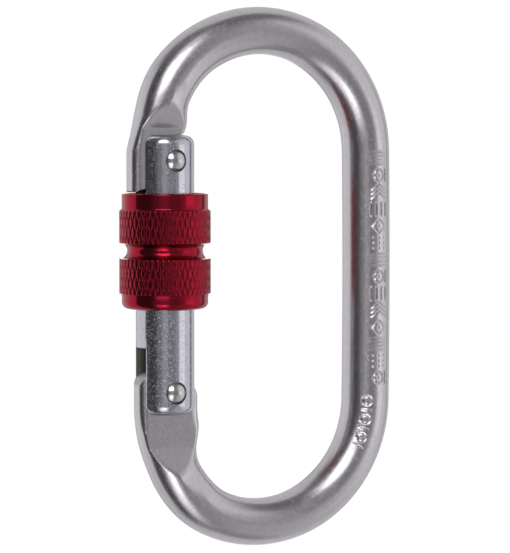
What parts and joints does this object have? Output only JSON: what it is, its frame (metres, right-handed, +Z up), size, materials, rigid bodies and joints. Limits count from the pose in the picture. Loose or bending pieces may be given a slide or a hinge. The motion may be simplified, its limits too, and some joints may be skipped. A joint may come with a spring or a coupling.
{
  "type": "locking carabiner",
  "caption": "Oval steel carabiner with a hinged, sprung gate and a knurled screw sleeve that locks the gate shut over the nose.",
  "frame": {"origin": "inside apex of the upper bow, in the middle of the bar's thickness, where a sling or rope pulls", "axes": "+Z up along the oval's length, +X from the gate to the spine, +Y through the oval's thickness, away from the viewer"},
  "size_m": [0.0608, 0.0186, 0.112],
  "materials": {
    "body_steel": "bright zinc-plated steel, satin with soft streaks",
    "gate_steel": "bluish zinc plating, finely speckled",
    "rivet_steel": "bright plain steel",
    "spring_steel": "drawn spring wire",
    "sleeve_anodised": "deep red anodised aluminium",
    "ring_rubber": "matt black rubber"
  },
  "bodies": {
    "oval": {"body": "body_steel"},
    "gate": {"gate": "gate_steel", "hinge_rivet": "rivet_steel", "latch_pin": "rivet_steel", "gate_spring": "spring_steel"},
    "plunger": {"spring_plunger": "rivet_steel"},
    "friction_ring": {"sleeve_friction_ring": "ring_rubber"},
    "sleeve": {"locking_sleeve": "sleeve_anodised"}
  },
  "joints": [
    {"name": "gate_hinge", "type": "hinge", "parent": "oval", "child": "gate", "pos_m": [-0.0215, 0, -0.0689], "axis": [0, 1, 0], "range_deg": [0, 36], "stiffness_Nm_per_rad": 0.3, "springref_deg": -17.19},
    {"name": "plunger_slide", "type": "slide", "parent": "gate", "child": "plunger", "axis": [0, 0, 1], "range_m": [0, 0.00124], "deforming": ["gate_spring"]},
    {"name": "sleeve_travel", "type": "slide", "parent": "gate", "child": "friction_ring", "axis": [0, 0, 1], "range_m": [0, 0.006]},
    {"name": "sleeve_turn", "type": "hinge", "parent": "friction_ring", "child": "sleeve", "pos_m": [-0.0215, 0, -0.04015], "axis": [0, 0, 1], "range_deg": [0, 1440]}
  ],
  "couplings": [
    {"joint": "plunger_slide", "follows": "gate_hinge", "m_per_rad": 0.0019673},
    {"joint": "sleeve_travel", "follows": "sleeve_turn", "m_per_rad": 0.00023873}
  ]
}
